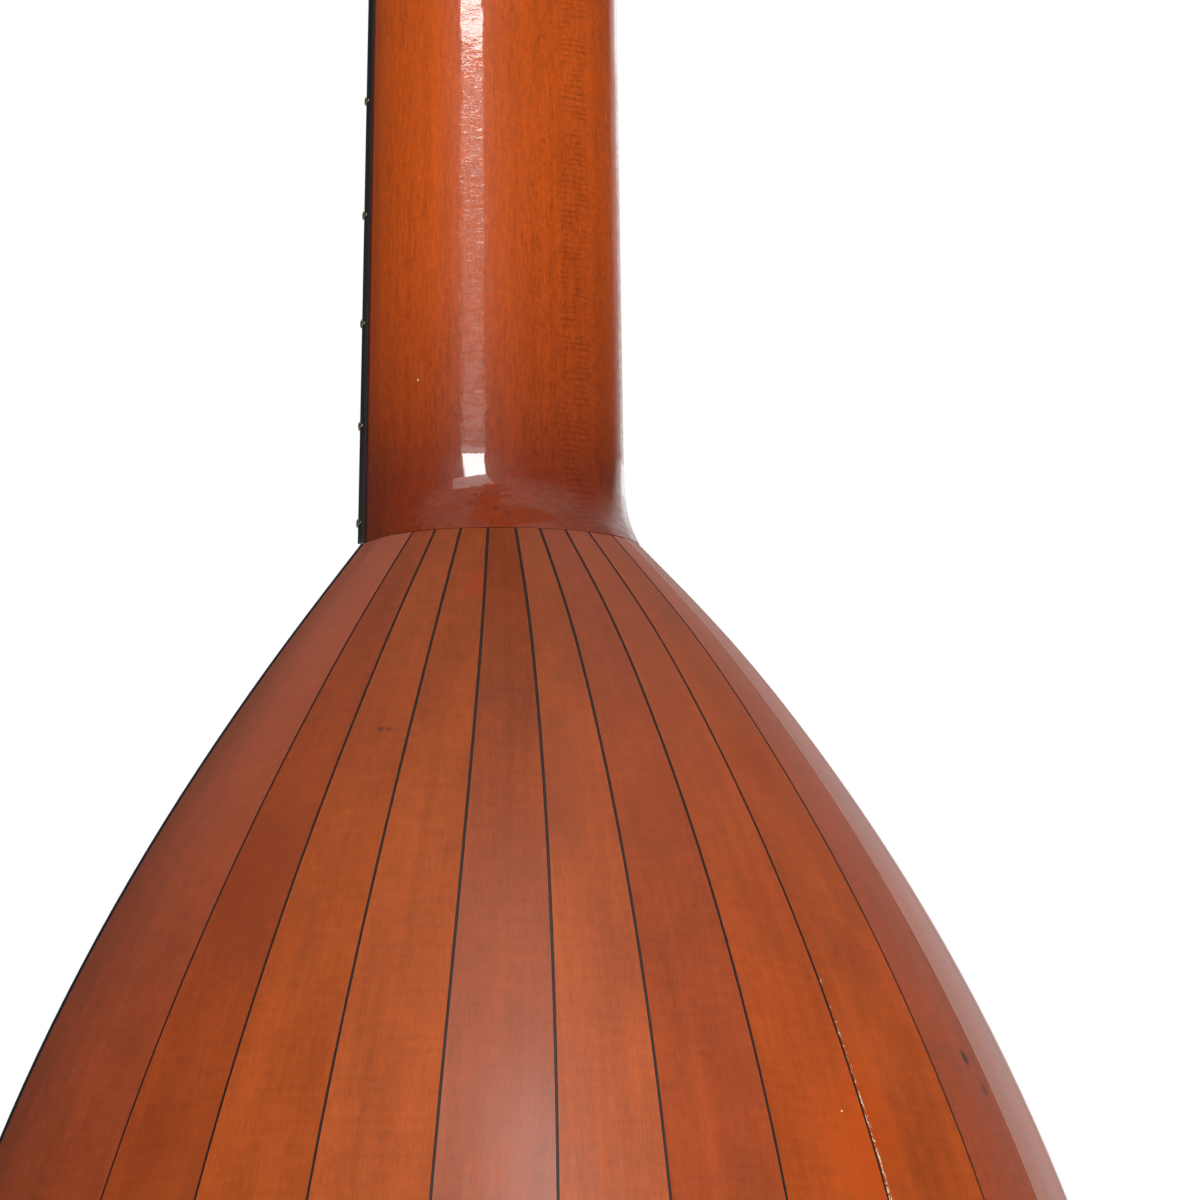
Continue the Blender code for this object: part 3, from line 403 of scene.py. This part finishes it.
def neckVarnish():
    made, tree, shader = newFinish("neck varnish")
    place = addNode(tree, "ShaderNodeTexCoord").outputs["Object"]
    parts = addNode(tree, "ShaderNodeSeparateXYZ", {"Vector": place})
    streaks = noise(tree, scaled(tree, place, (420, 420, 7)), detail=4, roughness=0.6)
    fine = noise(tree, scaled(tree, place, (2400, 2400, 260)), detail=2)
    flecks = noise(tree, scaled(tree, place, (1300, 1300, 900)), detail=2, distortion=0.6)
    clouds = noise(tree, scaled(tree, place, (60, 60, 28)), detail=3)
    tone = weighed(tree, ((streaks, 0.8), (fine, 1.1), (flecks, 0.8), (clouds, 0.5)), 0.5)
    wood = ramp(tree, tone, shades(neckFinish["colour"], 0.68, 1.3))
    # short dark squiggles over the middle of the back
    squiggles = noise(tree, scaled(tree, place, (1100, 1100, 620)), detail=1, distortion=1.6)
    inMiddle = sums(tree, "SUBTRACT", 1.0, band(tree, parts.outputs["X"], -0.002, 0.006))
    squiggles = sums(tree, "MULTIPLY", band(tree, squiggles, 0.55, 0.63), inMiddle)
    wood = mixed(tree, sums(tree, "MULTIPLY", squiggles, 0.3), wood, tuple(c * 0.4 for c in neckFinish["colour"]))
    # a column of curl down one side of the back: short dark marks across the grain
    curl = addNode(
        tree,
        "ShaderNodeTexWave",
        {
            "Vector": scaled(tree, place, (330, 330, 1450)),
            "Scale": 0.16,
            "Distortion": 5.0,
            "Detail": 2.0,
            "Detail Scale": 1.2,
        },
        wave_type="BANDS",
        bands_direction="Z",
    ).outputs["Fac"]
    breaks = noise(tree, scaled(tree, place, (260, 260, 190)), detail=2)
    offset = sums(tree, "ABSOLUTE", sums(tree, "SUBTRACT", parts.outputs["X"], neckFinish["curlMiddle"]), 0.0)
    inCurl = sums(tree, "SUBTRACT", 1.0, band(tree, offset, neckFinish["curlHalf"] * 0.5, neckFinish["curlHalf"]))
    marks = sums(tree, "MULTIPLY", band(tree, curl, 0.6, 0.95), band(tree, breaks, 0.4, 0.55))
    marks = sums(tree, "MULTIPLY", sums(tree, "MULTIPLY", marks, inCurl), 0.42)
    wood = mixed(tree, marks, wood, tuple(c * 0.35 for c in neckFinish["colour"]))
    low, high = neckFinish["shading"][0][0], neckFinish["shading"][-1][0]
    down = addNode(
        tree, "ShaderNodeMapRange", {"Value": parts.outputs["Z"], "From Min": low, "From Max": high}
    ).outputs[0]
    depth = ramp(tree, down, [((at - low) / (high - low), level) for at, level in neckFinish["shading"]])
    wood = mixed(tree, 1.0, wood, depth, "MULTIPLY")
    # painted shade along the edge by the fingerboard, where the neck's side turns from the light, with the varnish also
    # thick and dark there
    inner = band(tree, parts.outputs["Y"], neckFinish["edgeHeight"] * 0.4, neckFinish["edgeHeight"])
    edgeShadeAndThickVarnish = ramp(tree, inner, ((0.0, (0.22, 0.12, 0.12)), (1.0, (1.0, 1.0, 1.0))))
    wood = mixed(tree, 1.0, wood, edgeShadeAndThickVarnish, "MULTIPLY")
    for mark in neckFinish["marks"]:
        wood = spotted(tree, place, flecks, wood, mark)
    tree.links.new(wood, shader.inputs["Base Color"])
    tree.links.new(weighed(tree, ((clouds, 0.1),), neckFinish["roughness"]), shader.inputs["Roughness"])
    low, high = neckFinish["gloss"][0][0], neckFinish["gloss"][-1][0]
    up = addNode(tree, "ShaderNodeMapRange", {"Value": parts.outputs["Z"], "From Min": low, "From Max": high}).outputs[0]
    gloss = ramp(tree, up, [((at - low) / (high - low), (level,) * 3) for at, level in neckFinish["gloss"]])
    for spot in neckFinish["shine"]:
        gloss = spotted(tree, place, flecks, gloss, spot)
    scuffs = noise(tree, scaled(tree, place, (330, 330, 1000)), detail=4, roughness=0.75)
    scuffs = band(tree, scuffs, 0.4, 0.6)
    worn = sums(tree, "SUBTRACT", 1.0, gloss, clamp=True)
    scuffed = sums(tree, "MULTIPLY", weighed(tree, ((scuffs, 1.5),), 0.0), worn)
    gloss = sums(tree, "MULTIPLY", gloss, sums(tree, "ADD", scuffed, 1.0), clamp=True)
    tree.links.new(gloss, shader.inputs["Coat Weight"])
    # brushed varnish: long waves, and short ripples across that break up what it mirrors
    waves = noise(tree, scaled(tree, place, (110, 110, 60)), detail=3)
    ripples = noise(tree, scaled(tree, place, (380, 380, 900)), detail=3, roughness=0.6)
    surface = bump(tree, waves, 0.16, 0.0006)
    unevenness = sums(tree, "ADD", sums(tree, "MULTIPLY", worn, 0.3), 0.07)
    surface = bump(tree, weighed(tree, ((ripples, 1.0), (fine, 0.2)), 0.5), unevenness, 0.00012, surface)
    tree.links.new(surface, shader.inputs["Normal"])
    tree.links.new(surface, shader.inputs["Coat Normal"])
    shader.inputs["Specular IOR Level"].default_value = neckFinish["specular"]
    shader.inputs["Coat IOR"].default_value = 1.65
    shader.inputs["Coat Roughness"].default_value = neckFinish["coatRoughness"]
    return made


def plainWood(name, colour, dark, light, stretch, roughness, coat=0.0, bumpStrength=0.2):
    # straight-grained wood: long streaks and fine pores along the stretch
    made, tree, shader = newFinish(name)
    place = addNode(tree, "ShaderNodeTexCoord").outputs["Object"]
    streaks = noise(tree, scaled(tree, place, stretch), detail=5, roughness=0.6)
    pores = noise(tree, scaled(tree, place, tuple(s * 3.5 for s in stretch)), detail=2)
    clouds = noise(tree, place, scale=24, detail=2)
    tone = weighed(tree, ((streaks, 1.1), (pores, 0.6), (clouds, 0.4)), 0.5)
    tree.links.new(ramp(tree, tone, shades(colour, dark, light)), shader.inputs["Base Color"])
    tree.links.new(weighed(tree, ((pores, 0.2), (clouds, 0.12)), roughness), shader.inputs["Roughness"])
    tree.links.new(bump(tree, pores, bumpStrength, 0.0002), shader.inputs["Normal"])
    shader.inputs["Coat Weight"].default_value = coat
    shader.inputs["Coat Roughness"].default_value = 0.15
    return made


spruce = {"colour": (0.6, 0.36, 0.15), "line": (0.36, 0.17, 0.055), "spacing": 0.0013}


def soundboardFinish():
    made, tree, shader = newFinish("spruce soundboard")
    place = addNode(tree, "ShaderNodeTexCoord").outputs["Object"]
    wander = noise(tree, scaled(tree, place, (18, 18, 3)), detail=2)
    parts = addNode(tree, "ShaderNodeSeparateXYZ", {"Vector": place})
    across = sums(tree, "ADD", parts.outputs["X"], sums(tree, "MULTIPLY", wander, 0.004))
    turn = sums(tree, "MULTIPLY", across, 1 / spruce["spacing"])
    yearLine = band(tree, sums(tree, "FRACT", turn, 0.0), 0.45, 0.98)
    silk = noise(tree, scaled(tree, place, (240, 240, 900)), detail=2)
    fine = noise(tree, scaled(tree, place, (2400, 2400, 60)), detail=3)
    clouds = noise(tree, scaled(tree, place, (12, 12, 5)), detail=2)
    pale = ramp(tree, weighed(tree, ((fine, 0.7), (silk, 0.35), (clouds, 0.6)), 0.5), shades(spruce["colour"], 0.8, 1.2))
    lineShare = sums(tree, "MULTIPLY", yearLine, 0.55)
    tree.links.new(mixed(tree, lineShare, pale, spruce["line"]), shader.inputs["Base Color"])
    tree.links.new(weighed(tree, ((fine, 0.2),), 0.42), shader.inputs["Roughness"])
    tree.links.new(bump(tree, weighed(tree, ((yearLine, 0.6), (fine, 0.3)), 0.5), 0.15, 0.0002), shader.inputs["Normal"])
    shader.inputs["Coat Weight"].default_value = 0.25
    shader.inputs["Coat Roughness"].default_value = 0.3
    return made


def fretMetal():
    made, tree, shader = newFinish("fret metal")
    place = addNode(tree, "ShaderNodeTexCoord").outputs["Object"]
    rubbed = noise(tree, scaled(tree, place, (300, 900, 4000)), detail=3)
    tree.links.new(ramp(tree, rubbed, shades((0.36, 0.30, 0.20), 0.7, 1.2)), shader.inputs["Base Color"])
    tree.links.new(weighed(tree, ((rubbed, 0.25),), 0.42), shader.inputs["Roughness"])
    tree.links.new(bump(tree, rubbed, 0.15, 0.0001), shader.inputs["Normal"])
    shader.inputs["Metallic"].default_value = 1.0
    return made


def polishedBone():
    made, tree, shader = newFinish("polished bone")
    place = addNode(tree, "ShaderNodeTexCoord").outputs["Object"]
    fibres = noise(tree, scaled(tree, place, (180, 900, 900)), detail=4, roughness=0.6)
    clouds = noise(tree, place, scale=160, detail=2)
    tone = weighed(tree, ((fibres, 0.8), (clouds, 0.5)), 0.5)
    tree.links.new(ramp(tree, tone, shades((0.76, 0.68, 0.52), 0.85, 1.1)), shader.inputs["Base Color"])
    tree.links.new(weighed(tree, ((fibres, 0.2),), 0.34), shader.inputs["Roughness"])
    tree.links.new(bump(tree, fibres, 0.1, 0.0001), shader.inputs["Normal"])
    shader.inputs["Subsurface Weight"].default_value = 0.1
    shader.inputs["Subsurface Scale"].default_value = 0.001
    return made


def plainString():
    made, tree, shader = newFinish("plain string")
    place = addNode(tree, "ShaderNodeTexCoord").outputs["Object"]
    twist = noise(tree, scaled(tree, place, (900, 900, 300)), detail=3)
    tree.links.new(ramp(tree, twist, shades((0.78, 0.72, 0.58), 0.85, 1.1)), shader.inputs["Base Color"])
    tree.links.new(weighed(tree, ((twist, 0.2),), 0.28), shader.inputs["Roughness"])
    tree.links.new(bump(tree, twist, 0.15, 0.00008), shader.inputs["Normal"])
    return made


def woundString():
    # fine wire wound round a core: close ridges along the string
    made, tree, shader = newFinish("wound string")
    place = addNode(tree, "ShaderNodeTexCoord").outputs["Object"]
    wire = addNode(
        tree,
        "ShaderNodeTexWave",
        {"Vector": scaled(tree, place, (40, 40, 1)), "Scale": 600.0, "Distortion": 0.0},
        wave_type="BANDS",
        bands_direction="Z",
    ).outputs["Fac"]
    worn = noise(tree, scaled(tree, place, (400, 400, 90)), detail=3)
    tone = weighed(tree, ((wire, 0.6), (worn, 0.7)), 0.5)
    tree.links.new(ramp(tree, tone, shades((0.62, 0.46, 0.3), 0.6, 1.25)), shader.inputs["Base Color"])
    tree.links.new(weighed(tree, ((worn, 0.2),), 0.32), shader.inputs["Roughness"])
    tree.links.new(bump(tree, wire, 0.4, 0.0001), shader.inputs["Normal"])
    shader.inputs["Metallic"].default_value = 0.85
    return made


# each rib's own colour, how dark it is at the joint and how much painted reflection veil lies there, counted from the
# bass side
ribColours = {
    "rib_01": ((0.36, 0.062, 0.012), 0.9, 0.2),
    "rib_02": ((0.38, 0.066, 0.012), 0.9, 0.2),
    "rib_03": ((0.34, 0.06, 0.013), 0.85, 0.3),
    "rib_04": ((0.34, 0.056, 0.012), 0.78, 0.28),
    "rib_05": ((0.385, 0.065, 0.008), 0.62, 0.25),
    "rib_06": ((0.385, 0.062, 0.007), 0.58, 0.24),
    "rib_07": ((0.325, 0.053, 0.009), 0.6, 0.15),
    "rib_08": ((0.39, 0.071, 0.010), 0.48, 0.1),
    "rib_09": ((0.32, 0.059, 0.012), 0.56, 0.0),
    "rib_10": ((0.38, 0.071, 0.011), 0.58, 0.0),
    "rib_11": ((0.37, 0.066, 0.009), 0.62, 0.05),
    "rib_12": ((0.31, 0.050, 0.007), 0.72, 0.08),
    "rib_13": ((0.31, 0.052, 0.012), 1.0, 0.32),
}

# what age and use have left on single ribs: place, reach, colour, strength, and how long it is drawn out
ribMarks = {
    "rib_10": (
        ((0.0222, 0.0470, -0.2710), 0.0050, (0.30, 0.030, 0.006), 0.6, 2.2),
        ((0.0160, 0.0400, -0.2620), 0.0040, (0.26, 0.030, 0.008), 0.5, 2.0),
    ),
    "rib_11": (
        ((0.0511, 0.0602, -0.3055), 0.0012, (0.10, 0.02, 0.008), 0.7, 0.8),
        ((0.0496, 0.0617, -0.3056), 0.0009, (0.10, 0.02, 0.008), 0.7, 0.8),
    ),
    "rib_12": (
        ((0.0800, 0.0610, -0.3430), 0.0220, (0.22, 0.038, 0.012), 0.5, 1.9),
    ),
    "rib_08": (
        ((0.0208, 0.0876, -0.3180), 0.0130, (0.27, 0.052, 0.014), 0.5, 1.8),
    ),
    "rib_09": (
        ((0.0200, 0.0520, -0.2760), 0.0060, (0.22, 0.036, 0.010), 0.5, 2.4),
        ((0.0330, 0.0900, -0.3380), 0.0110, (0.24, 0.044, 0.012), 0.4, 1.8),
    ),
    "rib_07": (
        ((-0.0020, 0.0930, -0.3200), 0.0120, (0.26, 0.046, 0.012), 0.45, 1.7),
        ((-0.0050, 0.1240, -0.3850), 0.0100, (0.25, 0.045, 0.012), 0.4, 1.3),
    ),
    "rib_06": (
        ((-0.0335, 0.1300, -0.4000), 0.0160, (0.52, 0.070, 0.002), 0.5, 1.9),
        ((-0.0271, 0.1262, -0.3899), 0.0004, (0.85, 0.72, 0.55), 0.9, 1.0),
        ((-0.0170, 0.1050, -0.3420), 0.0080, (0.27, 0.046, 0.012), 0.4, 1.8),
    ),
    "rib_05": (
        ((-0.0340, 0.1250, -0.3930), 0.0120, (0.50, 0.066, 0.002), 0.5, 2.4),
        ((-0.0274, 0.0800, -0.3107), 0.0090, (0.27, 0.046, 0.014), 0.45, 1.6),
        ((-0.0420, 0.1040, -0.3560), 0.0080, (0.27, 0.046, 0.014), 0.4, 1.6),
    ),
    "rib_04": (
        ((-0.0694, 0.0990, -0.3753), 0.0018, (0.035, 0.014, 0.010), 0.95, 1.7),
        ((-0.0739, 0.0996, -0.3821), 0.0017, (0.09, 0.025, 0.012), 0.7, 1.3),
    ),
}

for number, (nodeName, ribLook) in enumerate(ribColours.items()):
    piece = takeCopy(nodeName, f"bent_{nodeName}")
    layGrain(piece, number * 0.37)
    creaseEdges(piece)
    roundThrough(piece, 2)
    marks = ribMarks.get(nodeName, ())
    finish = ribVarnish(f"varnish {nodeName}", *ribLook, marks=marks, withChips=nodeName == chipped["rib"])
    finishPiece(piece, nodeName, finish)
print("ribs bent and varnished")

blackStrip = plainWood("black strip", (0.0045, 0.004, 0.004), 0.6, 1.8, (400, 400, 20), 0.6)
# painted highlight: the strip on the ridge between the third and the fourth rib is coloured pale brown, not black, so
# it shows as a bright line; its full coat adds real gloss
ridgeStripPaintedHighlight = ribVarnish("ridge strip with painted highlight", (0.34, 0.11, 0.055), 0.85)
ridgeStripPaintedHighlight.node_tree.nodes["Principled BSDF"].inputs["Coat Weight"].default_value = 1.0
for number in range(1, 13):
    nodeName = f"spacer_{number:02d}"
    piece = takeCopy(nodeName, f"inlaid_{nodeName}")
    layGrain(piece, number * 0.53)
    creaseEdges(piece)
    roundThrough(piece, 2)
    finishPiece(piece, nodeName, ridgeStripPaintedHighlight if number == 3 else blackStrip)

piece = takeCopy("edge_binding", "black_edge")
creaseEdges(piece)
roundThrough(piece, 2)
finishPiece(piece, "edge_binding", blackStrip)

piece = takeCopy("end_clasp", "capping_strip")
layGrain(piece, 5.2)
creaseEdges(piece)
roundThrough(piece, 2)
finishPiece(piece, "end_clasp", ribVarnish("varnish capping strip", (0.34, 0.06, 0.016)))

innerWood = plainWood("bare inner spruce", (0.55, 0.36, 0.19), 0.75, 1.2, (60, 500, 500), 0.7)
for nodeName in ("neck_block", "tail_block", "bar_1", "bar_2", "bar_3"):
    nodes[nodeName].data.materials.clear()
    nodes[nodeName].data.materials.append(innerWood)
print("seams, edge, capping strip and inner wood done")


piece = takeCopy("soundboard", "spruce_board")
finishPiece(piece, "soundboard", soundboardFinish())

bridgeWood = plainWood("bridge wood", (0.1, 0.036, 0.016), 0.55, 1.5, (40, 500, 500), 0.36, coat=0.2)
piece = takeCopy("bridge", "carved_bridge")
softenEdges(piece, 0.0004)
finishPiece(piece, "bridge", bridgeWood)

plain, wound = plainString(), woundString()
for number in range(1, 7):
    nodeName = f"string_{number}"
    piece = takeCopy(nodeName, f"round_{nodeName}")
    creaseEdges(piece, 70)
    roundThrough(piece, 2, 0.00018)
    finishPiece(piece, nodeName, plain if number < 4 else wound)
print("soundboard, bridge and strings done")


neckWood = neckVarnish()
piece = takeCopy("neck", "carved_neck", 60)
# cuts across the straight part, closer and closer to the heel, so that the rounding stays even
for above in neckFinish["cutsAboveJoint"]:
    bpy.ops.object.mode_set(mode="EDIT")
    bpy.ops.mesh.select_all(action="SELECT")
    bpy.ops.mesh.bisect(plane_co=(0, 0, body["jointHeight"] + above), plane_no=(0, 0, 1))
    bpy.ops.object.mode_set(mode="OBJECT")
for vertex in piece.data.vertices:
    # the foot is glued down, so only a hairline shows there
    if vertex.co.z < body["jointHeight"] + 0.0001:
        vertex.co.z -= neckFinish["footDrop"]
creaseEdges(piece)
roundThrough(piece, 2)
finishPiece(piece, "neck", neckWood)

ebony = plainWood("ebony", (0.008, 0.0065, 0.006), 0.5, 2.2, (500, 500, 14), 0.5)
piece = takeCopy("fingerboard", "ebony_board")
softenEdges(piece, 0.00008)
finishPiece(piece, "fingerboard", ebony)

metal = fretMetal()
for number in range(1, 10):
    piece = takeCopy(f"fret_{number}", f"rounded_fret_{number}")
    softenEdges(piece, 0.00025, angle=60)
    finishPiece(piece, f"fret_{number}", metal)

piece = takeCopy("nut", "grooved_nut")
finishPiece(piece, "nut", polishedBone())

piece = takeCopy("pegbox", "carved_pegbox")
softenEdges(piece, 0.0006)
finishPiece(piece, "pegbox", neckWood)
piece = takeCopy("pegbox_back", "pegbox_back_plate")
softenEdges(piece, 0.0006)
finishPiece(piece, "pegbox_back", neckWood)

pegWood = plainWood("peg wood", (0.05, 0.02, 0.012), 0.5, 1.7, (60, 600, 600), 0.32, coat=0.25)
for number in range(1, 7):
    piece = takeCopy(f"peg_{number}", f"turned_peg_{number}")
    creaseEdges(piece, 40)
    roundThrough(piece, 2, 0.0004)
    finishPiece(piece, f"peg_{number}", pegWood, f"peg_{number}", 40)
print("neck, fingerboard, nut, pegbox and pegs done")


studio = {
    "target": (-0.02325, 0.00904, -0.26733),
    "camera": (0.77885, 1.82215, -0.53043),
    "lens": 267.7,
    # azimuth, elevation, distance, size and power of each panel
    "main": (15, 31.8, 2.3, (0.64, 1.33), 39),
    "high": (20, 56.5, 2.3, (1.0, 0.7), 3.8),
    "low": (15, 8.5, 2.3, (0.7, 0.5), 2.2),
    "front": (205, 25, 2.4, (1.6, 1.6), 30),
    "floorDrop": 0.002,
    "floorFade": (0.5, 1.6),
    "fill": 0.34,
    # what gloss mirrors: a white screen on the bass side, a paler glow above it, the ceiling, and the room
    "screen": (-0.7036, -0.6795, 0.2079),
    "screenLevel": 0.9,
    "screenMiddle": 1.7,
    "glow": 0.14,
    "ceiling": 0.42,
    "room": 0.04,
}


def aim(thing, target):
    thing.rotation_euler = (Vector(target) - thing.location).to_track_quat("-Z", "Y").to_euler()


def addPanel(name, azimuth, elevation, distance, size, power, target=(0.014, 0.02, -0.24)):
    # azimuth is turned from straight behind the lute towards +X
    data = bpy.data.lights.new(name, "AREA")
    data.shape = "RECTANGLE"
    data.size, data.size_y = size
    data.energy = power
    lamp = bpy.data.objects.new(name, data)
    bpy.context.scene.collection.objects.link(lamp)
    turn, rise = math.radians(azimuth), math.radians(elevation)
    away = Vector((math.sin(turn) * math.cos(rise), math.cos(turn) * math.cos(rise), math.sin(rise)))
    lamp.location = Vector(target) + away * distance
    aim(lamp, target)
    return lamp


cameraData = bpy.data.cameras.new("photo camera")
cameraData.lens = studio["lens"]
cameraData.sensor_width = 36
cameraData.clip_start, cameraData.clip_end = 0.05, 50
photoCamera = bpy.data.objects.new("photo camera", cameraData)
bpy.context.scene.collection.objects.link(photoCamera)
photoCamera.location = studio["camera"]
aim(photoCamera, studio["target"])
bpy.context.scene.camera = photoCamera

addPanel("main softbox", *studio["main"])
addPanel("high softbox", *studio["high"])
addPanel("low softbox", *studio["low"])
# this one only lights the soundboard; the back's gloss doesn't mirror it
addPanel("front softbox", *studio["front"]).visible_glossy = False

world = bpy.data.worlds.new("studio")
bpy.context.scene.world = world
world.use_nodes = True
tree = world.node_tree
tree.nodes.clear()
path = addNode(tree, "ShaderNodeLightPath")
shown = sums(tree, "MAXIMUM", path.outputs["Is Camera Ray"], path.outputs["Is Transmission Ray"])
direction = addNode(tree, "ShaderNodeTexCoord").outputs["Generated"]
parts = addNode(tree, "ShaderNodeSeparateXYZ", {"Vector": direction})
toScreen = addNode(
    tree, "ShaderNodeVectorMath", {0: direction, 1: studio["screen"]}, operation="DOT_PRODUCT"
).outputs["Value"]
# the screen ends straight beyond the lute, so the treble edge of the bowl mirrors only the dim room
sideways = addNode(
    tree, "ShaderNodeVectorMath", {0: direction, 1: (-0.914, 0.405, 0)}, operation="DOT_PRODUCT"
).outputs["Value"]
screen = sums(tree, "MULTIPLY", band(tree, toScreen, 0.86, 0.985), band(tree, sideways, -0.06, 0.12))
screen = sums(tree, "MULTIPLY", screen, studio["screenLevel"])
middle = sums(tree, "MULTIPLY", band(tree, toScreen, 0.968, 0.998), studio["screenMiddle"])
screen = sums(tree, "MAXIMUM", screen, middle)
beyond = addNode(
    tree, "ShaderNodeVectorMath", {0: direction, 1: (-0.4011, -0.9066, 0.1316)}, operation="DOT_PRODUCT"
).outputs["Value"]
glow = sums(tree, "MULTIPLY", band(tree, beyond, 0.3, 0.8), band(tree, parts.outputs["Z"], 0.3, 0.6))
glow = sums(tree, "MULTIPLY", glow, studio["glow"])
ceiling = sums(tree, "MULTIPLY", band(tree, parts.outputs["Z"], 0.65, 0.95), studio["ceiling"])
mirrored = sums(tree, "MAXIMUM", sums(tree, "MAXIMUM", screen, ceiling), sums(tree, "ADD", glow, studio["room"]))
seenLevel = sums(tree, "MAXIMUM", shown, sums(tree, "MULTIPLY", path.outputs["Is Glossy Ray"], mirrored))
plainRay = sums(tree, "SUBTRACT", 1.0, sums(tree, "MAXIMUM", shown, path.outputs["Is Glossy Ray"]))
level = sums(tree, "ADD", seenLevel, sums(tree, "MULTIPLY", plainRay, studio["fill"]))
background = addNode(tree, "ShaderNodeBackground", {"Color": (1, 1, 1, 1), "Strength": level})
output = addNode(tree, "ShaderNodeOutputWorld", {"Surface": background.outputs[0]})

floorFinish, tree, shader = newFinish("pale floor")
place = addNode(tree, "ShaderNodeTexCoord").outputs["Object"]
speckle = noise(tree, place, scale=60, detail=4)
tree.links.new(ramp(tree, speckle, shades((0.84, 0.84, 0.83), 0.98, 1.02)), shader.inputs["Base Color"])
shader.inputs["Roughness"].default_value = 0.8
# away from the lute the floor runs into the white background; light on the lute doesn't change
path = addNode(tree, "ShaderNodeLightPath")
seen = sums(tree, "MAXIMUM", path.outputs["Is Camera Ray"], path.outputs["Is Transmission Ray"])
seen = sums(tree, "MAXIMUM", seen, path.outputs["Is Glossy Ray"])
flat = scaled(tree, place, (1, 1, 0))
away = addNode(tree, "ShaderNodeVectorMath", {0: flat}, operation="LENGTH").outputs["Value"]
white = addNode(tree, "ShaderNodeEmission", {"Color": (1, 1, 1, 1), "Strength": 1.0})
share = sums(tree, "MULTIPLY", band(tree, away, *studio["floorFade"]), seen)
blend = addNode(tree, "ShaderNodeMixShader", {0: share, 1: shader.outputs[0], 2: white.outputs[0]})
tree.links.new(blend.outputs[0], tree.nodes["Material Output"].inputs["Surface"])
bpy.ops.object.select_all(action="DESELECT")
bpy.ops.mesh.primitive_plane_add(size=12, location=(0, 0, cadLow.z - studio["floorDrop"]))
floor = bpy.context.active_object
floor.name = "studio_floor"
bpy.ops.object.transform_apply(location=True, rotation=True, scale=True)
floor.data.materials.append(floorFinish)

bpy.context.scene.view_settings.view_transform = "Standard"
print("camera, lights and floor done")
